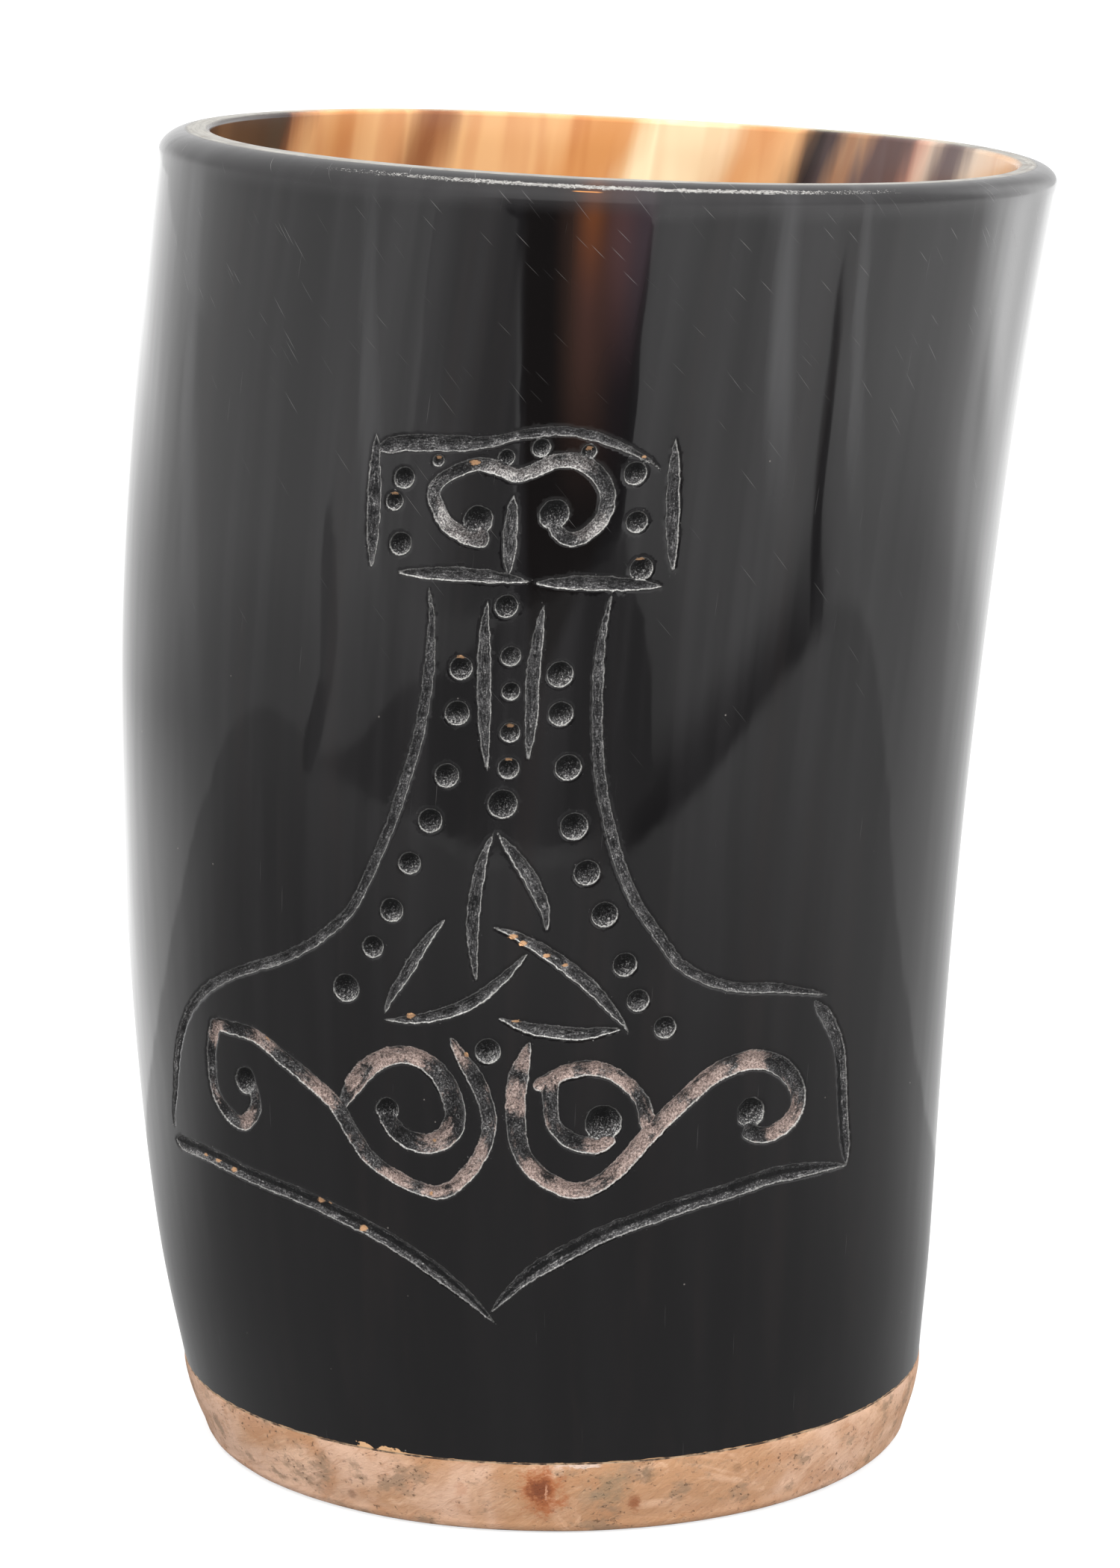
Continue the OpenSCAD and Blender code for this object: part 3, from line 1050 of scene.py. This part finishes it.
def carve(g, outside, place, z):
    """The carving: fibrous in the cuts, stippled and dusty in the scrolls, pale on the edges with a
    painted highlight, and with painted light and shade on its walls.
    """
    edge, along, across = g.split(g.attribute("cut"))
    dust, stipple, lit_side = g.split(g.attribute("look"))
    fibres = g.noise(g.join(along * 0.9, edge * 8.0, 0.0), 1.0, 5.0, 0.75)
    grit = g.noise(place, 6.0, 4.0, 0.8)
    rasp = g.noise(place, 4.2, 5.0, 0.8)
    is_pit = g.range(abs(stipple - 0.5), 0.2, 0.1)
    is_line = g.range(abs(stipple - 0.2), 0.15, 0.05)
    is_scroll = g.range(stipple, 0.75, 0.9)
    texture = g.blend(g.max(is_pit, g.blend(stipple, 0.5, 0.8)), fibres, grit)

    # How pale the bare floor is: its texture, its walls, paler on the lit side and darker on the
    # shaded side as painted light and shade, painted shade in the pits, tracks of two passes, and
    # clouds
    cloud = g.noise(place, 0.5, 3.0, 0.6)
    gain = g.blend(is_scroll, 2.1, 1.9)
    level = (texture - 0.5) * gain + g.blend(is_scroll, 0.43, g.blend(is_line, 0.4, 0.42))
    # Painted light on each wall's lit side and painted shade on its shaded side, strongest in the
    # pits, and painted shade darkening the pits
    level += lit_side * g.blend(is_pit, 0.05, 0.24)
    level -= is_pit * 0.09
    tracks = is_line * 0.2 * g.range(z, TRACK_Z + 2, TRACK_Z - 2)
    level -= tracks * g.range(abs(across), 0.45, 0.1)
    level += (cloud - 0.5) * g.blend(is_scroll, 0.35, 0.6)

    # The dust in the scrolls: thick low down, and a thin frost of it higher up
    grain = (grit - 0.5) * 1.2 + (rasp - 0.5) * 1.2
    drift = g.noise(g.join(along * 0.35, across * 0.8, 0.0), 1.0, 6.0, 0.72)
    drift += (rasp - 0.5) * 0.25
    drift += (dust - 0.72) * 0.3
    dusty = is_scroll * g.range(drift + lit_side * 0.03, 0.43, 0.6)
    dusty *= g.range(z, 70.0, 60.0, 0.1, 0.9)
    level += is_scroll * g.range(z, 60.0, 70.0) * g.range(drift, 0.36, 0.64, 0.02, 0.17)
    matt = g.mix(dusty, g.colours(level, CUT_RAMP), g.colours(grain + 0.5, DUST_RAMP))
    # Pale frayed edges carrying a painted highlight, brightest on each wall's lit side
    edge_highlight = g.within((abs(edge + 0.04), 0.085, 0.025), (grit, 0.35, 0.6, 0.25, 1.0),
                     (lit_side, -0.4, 0.7, 0.22, 1.0))
    matt = g.mix(edge_highlight * g.blend(is_line, 1.0, 0.5), matt, "edge_highlight")

    # Flecks beside the frayed edges, and chips
    carved = g.range(edge - (rasp - 0.5) * 0.3, 0.035, -0.035)
    fleck = g.within((edge, 0.45, 0.1), (rasp, 0.64, 0.7))
    outside = g.mix(fleck * 0.8, outside, "fleck")
    outside = g.mix(carved, outside, matt)
    chip = g.range(g.attribute("chip", "Fac") + (rasp - 0.5) * 1.6, 0.15, 0.4)
    return g.mix(chip, outside, g.mix(grit, "chip_dark", "chip_light")), texture, carved, fleck


def horn_material():
    """Polished dark horn with amber streaks, a worn lip and matt, dusty carving."""
    material, g = new_material("polished_horn")
    place = g.attribute("straight")
    x, y, z = g.split(place)
    turn, below, inside = g.split(g.attribute("wear"))

    # Streaks run along the horn: they follow a direction, wander a little, and go through the wall.
    # They twist round it with its fibres, most of all near the rim.
    direction = g.math("ARCTAN2", y, x) * (180 / math.pi)
    wander = g.stretched(place, 0.12, 0.02, 2.0)
    degrees = direction + (wander - 0.5) * 5.0
    fibre = g.stretched(place, 0.5, 0.012, 2.0, 0.5)
    degrees += (fibre - 0.5) * 5.0
    twist = g.math("MINIMUM", below, RIM_TWIST_DEEP) * RIM_TWIST + RIM_TURN
    degrees -= twist + below * TWIST
    tones = streak_tones(g, place, degrees, below)

    # The dark skin outside, with the streaks showing through at the back
    streaky = g.stretched(place, 0.35, 0.012, 3.0, 0.55)
    outside = dark_skin(g, place, direction, below, fibre, streaky)
    outside = clear_band(g, outside, direction, below, streaky)
    back = g.within((degrees, 24.0, 44.0), (degrees, 152.0, 136.0))
    back *= g.range(below + (streaky - 0.5) * 90.0, 75.0, 15.0)
    outside = g.mix(back * 0.85, outside, tones)

    # The lip is dulled outside and scraped grey on top, that grey partly a painted highlight, with
    # a frayed line and a tan glint in front
    dulled = g.range(below, 3.2, 1.5) * (1.0 - inside)
    outside = g.mix(dulled * 0.4, outside, g.mix(back, "dulled", tones))
    scraped = g.stretched(place, 1.2, 6.0, 4.0, 0.65)
    top = g.within((turn, 0.83, 0.94), (scraped, 0.2, 0.6, 0.6, 1.0))
    top *= 1.0 - inside
    radius = g.length(g.join(x, y, 0.0))
    outside = g.mix(top, outside, lip_tones(g, radius, degrees, turn, fibre, back, tones))
    frayed, frayed_tone = frayed_line(g, direction, degrees, turn)
    outside = g.mix(frayed, outside, frayed_tone)
    glint = g.within((abs(turn - 0.34), 0.022, 0.008), (abs(direction - GLINT_AT), 2.0, 1.0))
    outside = g.mix(glint * 0.8, outside, "glint")

    hair, speck = polish_marks(g, place, z, direction, below)
    outside = g.mix(hair, outside, "hairline")
    outside = g.mix(speck, outside, "speck")
    torn, torn_tone = torn_fibres(g, place, z, direction)
    outside = g.mix(torn, outside, torn_tone)
    outside, texture, carved, fleck = carve(g, outside, place, z)
    colour = g.mix(inside, outside, tones)

    rough = g.blend(inside, g.range(streaky, 0.3, 0.7, 0.03, 0.075), 0.22)
    rough = g.blend(dulled, rough, 0.2)
    rough = g.blend(g.max(top * 0.9, frayed), rough, 0.45)
    rough = g.blend(g.max(hair, speck) * 0.6, rough, 0.45)
    rough = g.blend(g.max(carved, fleck), rough, 0.8)
    wavy = g.stretched(place, 0.2, 0.03, 2.0)
    relief = wavy * 0.05
    relief += texture * carved * 0.3
    relief -= hair * 0.01
    relief += scraped * top * 0.05
    g.surface(Base_Color=colour, Roughness=rough, Normal=g.bump(relief, MM), IOR=1.5)
    return material


# Marks on the front of the wood, the knot first: place across and up, size, tone and strength
MARKS = (
    (-0.8, 4.6, 2.3, (166, 92, 46), 0.9), (-1.0, 4.7, 1.3, (108, 54, 30), 0.75),
    (7.6, 3.0, 0.8, (140, 78, 42), 0.8), (-8.2, 4.6, 0.8, (176, 118, 84), 0.4),
    (8.8, 5.9, 0.8, (104, 88, 68), 0.6), (5.4, 4.9, 1.8, (140, 122, 96), 0.45),
    (3.4, 4.2, 1.3, (150, 130, 106), 0.35), (-18.4, 2.2, 0.5, (120, 80, 52), 0.5),
    (17.0, 5.4, 0.5, (130, 94, 66), 0.4),
)


def wood_material():
    """Pale fruitwood: pinkish tan, mottled, with a knot in front, pores and darker along its bottom
    edge.
    """
    material, g = new_material("pale_wood")
    place = g.millimetres()
    x, y, z = g.split(place)
    drift = g.stretched(place, 0.07, 0.10, 3.0, 0.55, 0.6)
    centre = g.range(abs(x - 3.0), 26.0, 8.0, -0.06, 0.12)
    slant = g.join(x * 0.8 + z * 0.6, z * 0.8 - x * 0.6, y)
    grain = g.noise(g.scaled(slant, 0.5, 2.0, 0.4), 1.0, 4.0, 0.6, 1.0)
    mottle = g.stretched(place, 0.22, 0.34, 6.0, 0.68)
    stain = g.stretched(place, 0.14, 0.20, 5.0, 0.62, 0.8)
    fine = g.stretched(place, 2.5, 3.5, 3.0, 0.7)
    colour = g.mix(g.range(drift + centre, 0.4, 0.62), "wood_outer", "wood_middle")
    for layer, low, high, most, tone in (
            (stain, 0.50, 0.64, 0.55, "stain"), (stain, 0.46, 0.34, 0.45, "stain_pale"),
            (grain, 0.50, 0.70, 0.4, "grain"), (grain, 0.48, 0.30, 0.18, "grain_pale"),
            (mottle, 0.51, 0.64, 0.75, "mottle")):
        colour = g.mix(g.range(layer, low, high, 0.0, most), colour, tone)
    # Fine dark pores, thickest where the wood is stained
    peppered = g.stretched(place, 2.2, 2.6, 2.0, 0.6)
    thick = g.range(g.max(mottle, stain), 0.44, 0.62)
    pore = g.range(peppered, 0.6, 0.7) * thick
    colour = g.mix(pore * 0.8, colour, "pore")

    # In front, the knot and the marks, each with a ragged outline, a crack and the smear of glue
    front = g.range(y, 0.0, -20.0)
    blot = g.noise(place, 0.9, 2.0)
    for at_x, at_z, size, levels, strength in MARKS:
        off_x = x - at_x
        off_z = (z - at_z) * 0.8
        span = g.math("SQRT", off_x * off_x + off_z * off_z)
        span += (fine - 0.5) * (1.4 * size)
        span += (blot - 0.5) * (1.3 * size)
        mark = g.range(span, 1.15 * size, 0.3 * size, 0.0, strength) * front
        colour = g.mix(mark, colour, srgb(*levels))
    crack_x, crack_z, *_ = MARKS[0]
    crack = x - (crack_x + 0.35) + (fine - 0.5) * 0.6
    crack = g.within((abs(crack), 0.14, 0.04), (abs(z - (crack_z - 0.1)), 1.0, 0.5))
    colour = g.mix(crack * front, colour, "crack")
    smear = g.within((abs(x - 2.4), 2.4, 1.6), (z + (mottle - 0.5) * 2.5, 6.95, 7.15))
    colour = g.mix(smear * g.range(y, 0.0, -20.0, 0.0, 0.6), colour, "smear")
    # Darker along the bottom edge
    bottom = z + (mottle - 0.5) * 0.9
    colour = g.mix(g.range(bottom, 0.30, 0.02, 0.0, 0.85), colour, "bottom_edge_dark")
    relief = grain * 0.08 + fine * 0.06
    relief -= pore * 0.08
    rough = g.range(mottle, 0.3, 0.7, 0.42, 0.6)
    g.surface(Base_Color=colour, Roughness=rough, Normal=g.bump(relief, MM), IOR=1.45)
    return material


def glue_material():
    """Cured pale adhesive, darker where it holds dust."""
    material, g = new_material("cured_adhesive")
    place = g.millimetres()
    cloud = g.noise(place, 0.7, 4.0, 0.65)
    colour = g.mix(g.range(cloud, 0.4, 0.6), "adhesive_dusty", "adhesive")
    g.surface(Base_Color=colour, Roughness=0.5, Normal=g.bump(cloud * 0.1, MM))
    return material


def seal_material():
    """Clear amber resin with a brushed, slightly uneven top."""
    material, g = new_material("clear_resin")
    place = g.millimetres()
    cloud = g.noise(place, 0.12, 3.0)
    colour = g.mix(cloud, "resin_dark", "resin")
    wavy = g.noise(place, 0.3, 2.0)
    g.surface(Base_Color=colour, Roughness=0.16, Alpha=0.45, Normal=g.bump(wavy * 0.3, MM),
              Coat_Weight=0.6, Coat_Roughness=0.08)
    return material


# The studio, in metres. Each lamp has a name, a place, a size and its watts.
LAMPS = (
    ("key", (-0.25, -0.50, 0.80), 0.45, 8.0),
    ("fill", (0.50, -0.40, 0.65), 0.5, 5.0),
    ("back", (0.35, 0.55, 0.70), 0.5, 4.0),
)
LAMPS_AIM = (0, 0, 0.07)
FLOOR_HALF = 4.0
# The oval stand under the cup: its middle and its half axes
STAND_X, STAND_Y = -0.06, -0.07
STAND_HALF_X, STAND_HALF_Y = 0.372, 0.162


def floor_material():
    """A plain pale floor: white to the camera, with the cup's shadow, and shaded in reflections."""
    material, g = new_material("studio_floor")
    place = g.coordinates("Object")
    x, y, _ = g.split(place)
    far = g.length(place)
    # The stand reflects darker than the paper round it, and the paper reflects brighter behind the
    # cup and to its right than in front
    oval = g.length(g.join((x - STAND_X) / STAND_HALF_X, (y - STAND_Y) / STAND_HALF_Y, 0.0))
    mirror = g.range(oval, 0.3, 1.0, 0.37, 0.54) + g.range(oval, 0.99, 1.03, 0.0, 0.22)
    mirror += g.range(oval, 1.0, 3.0, 0.0, 0.3)
    back = y / far
    behind = g.within((back, 0.4, 0.9), (far, 0.6, 1.4, 0.15, 0.8), (x, 0.2, -0.1, 0.4, 1.0))
    right = g.within((x, 0.04, 0.25, 0.0, 0.5), (back, 0.2, -0.2, 0.1, 1.0),
                    (far, 0.5, 1.4, 1.0, 0.0))
    wide = g.within((x, 0.1, 0.25, 0.0, 0.5), (back, -0.5, -0.1, 0.2, 1.0), (far, 0.34, 0.42),
                   (x, 0.0, 0.4))
    panel = g.within((back, 0.28, 0.55), (back, 0.8, 0.58), (x, 0.1, 0.3, 0.0, 1.3),
                    (far, 0.44, 0.52))
    left = g.within((x, -0.04, -0.12, 0.0, 0.75), (back, -0.1, 0.5), (far, 0.45, 0.25))
    sides = right + wide + (panel + left)
    mirror *= behind + sides + 1.0
    front = g.within((back, -0.5, -0.8, 0.0, 0.3), (oval, 1.0, 1.1), (far, 1.2, 0.6))
    mirror *= 1.0 - front
    # The stand's edge is dark on its outer side, to the front and right
    rim = g.within((oval, 0.95, 0.99), (oval, 1.3, 1.0), (back, -0.25, -0.5), (x, 0.02, 0.1))
    mirror *= 1.0 - rim * 0.85
    glow = g.emission(g.range(far, 0.08, 0.6, 0.74, 1.0))
    seen = g.out("AddShader", {0: g.diffuse(0.3), 1: glow})
    shader = g.mix_shaders(g.ray("Is Glossy Ray"), g.diffuse(0.6), g.emission(mirror))
    g.output(g.mix_shaders(g.seen(), shader, seen))
    return material


def card(name, corners, level, right_level=None):
    """A flat card that only reflections see. It may shade over to another level at its right."""
    piece = build_mesh(name, corners, [list(range(len(corners)))], {})
    material, g = new_material(name)
    strength = level
    if right_level is not None:
        across = g.split(g.coordinates("Object"))[0]
        ends = [corner[0] * MM for corner in corners]
        strength = g.range(across, min(ends), max(ends), level, right_level)
    g.output(g.emission(strength))
    piece.data.materials.append(material)
    piece.visible_camera = False
    piece.visible_diffuse = False
    piece.visible_shadow = False


def strip(name, middle, half, level):
    """A card that lies along a line of points on the floor."""
    line = np.array(middle, float)
    way = np.gradient(line, axis=0)
    way /= np.linalg.norm(way, axis=1)[:, None]
    aside = np.stack([-way[:, 1], way[:, 0]], -1) * np.array(half)[:, None]
    edge = np.vstack([line + aside, (line - aside)[::-1]])
    card(name, [(x, y, 2) for x, y in edge], level)


def make_cards():
    """What stands round the cup: the dark gap in front, the table's end, and stands beside it."""
    gap = ((-92, 0), (105, 0), (101, 33), (89, 52), (80, 190), (-250, 190), (-173, 88), (-141, 63),
           (-113, 38))
    card("card_front", [(x, -450, z) for x, z in gap], 0.04)
    beside = ((-400, 0), (-92, 0), (-240, 160), (-400, 160))
    card("card_front_left", [(x, -460, z) for x, z in beside], 0.7, 0.36)
    table_end = ((-300, -175), (-240, -208), (-145, -237), (-23, -240), (66, -231), (112, -225),
                 (130, -300), (110, -440), (-118, -440), (-250, -330))
    card("card_table_end", [(x, y, 1) for x, y in table_end], 0.28)
    strip("card_right_stand", [(284, -124), (306, -144), (321, -159), (350, -180), (374, -195),
                               (395, -222)], [8, 9, 9, 9, 7, 4], 0.1)
    strip("card_left_stand", [(-390, -236), (-479, -288), (-680, -375), (-900, -468)],
          [14, 26, 30, 18], 0.5)
    strip("card_left_foot", [(-300, -155), (-330, -180), (-400, -240)], [8, 18, 18], 0.3)


def make_floor():
    mesh = bpy.data.meshes.new("floor")
    corners = [(x * FLOOR_HALF, y * FLOOR_HALF, 0) for x, y in ((-1, -1), (1, -1), (1, 1), (-1, 1))]
    mesh.from_pydata(corners, [], [(0, 1, 2, 3)])
    floor = add_object("floor", mesh)
    floor.data.materials.append(floor_material())


def make_world():
    """White to the camera and in reflections, and an even soft light for the rest."""
    world = bpy.data.worlds.new("studio")
    bpy.context.scene.world = world
    world.use_nodes = True
    g = Graph(world.node_tree)
    right, back, up = g.split(g.coordinates("Generated"))
    horizon = g.within((back, 0.2, 0.8), (right, 0.3, -0.3, 0.0, 0.45))
    mirrored = g.range(up, 0.0, 0.3, 1.05, 0.85) + horizon * g.range(up, 0.3, 0.0)
    window = g.within((back, 0.3, 0.55), (right, 0.35, 0.65))
    mirrored += window * g.range(up, 0.8, 0.3, 0.0, 1.0)
    haze = g.within((right, 0.4, 0.8, 0.0, 0.5), (back, 0.6, 0.3))
    mirrored += haze * g.range(up, 0.25, 0.0)
    strength = g.blend(g.ray("Is Glossy Ray"), 0.7, mirrored)
    strength = g.blend(g.seen(), strength, 1.0)
    background = g.out("Background", {"Color": WHITE, "Strength": strength})
    g.output(background, "World")


def lamp(name, at, size, power):
    """A soft square lamp aimed at the cup's middle."""
    light = bpy.data.lights.new(name, "AREA")
    light.size = size
    light.energy = power
    piece = add_object(name, light)
    piece.location = at
    piece.visible_glossy = False
    piece.rotation_euler = (Vector(LAMPS_AIM) - Vector(at)).to_track_quat("-Z", "Y").to_euler()


def make_camera():
    data = bpy.data.cameras.new("camera")
    data.sensor_width = SENSOR_MM
    data.lens = FOCAL_PX * SENSOR_MM / PHOTO_H
    data.clip_start = 0.01
    camera = add_object("camera", data)
    camera.location = CAMERA_AT * MM
    camera.rotation_euler = (math.pi / 2 - CAMERA_TILT, 0, 0)
    bpy.context.scene.camera = camera


def dress(piece, material, node):
    """A finished piece takes a CAD node's place."""
    piece.data.materials.append(material)
    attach(piece, "root")
    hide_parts(node)


make_camera()
make_floor()
make_world()
make_cards()
for row in LAMPS:
    lamp(*row)
bpy.context.scene.view_settings.view_transform = "Standard"

dress(make_horn(), horn_material(), "horn_body")
dress(make_disc(), wood_material(), "wooden_base")
dress(make_glue(), glue_material(), "glue_joint")
dress(make_seal(), seal_material(), "floor_seal")
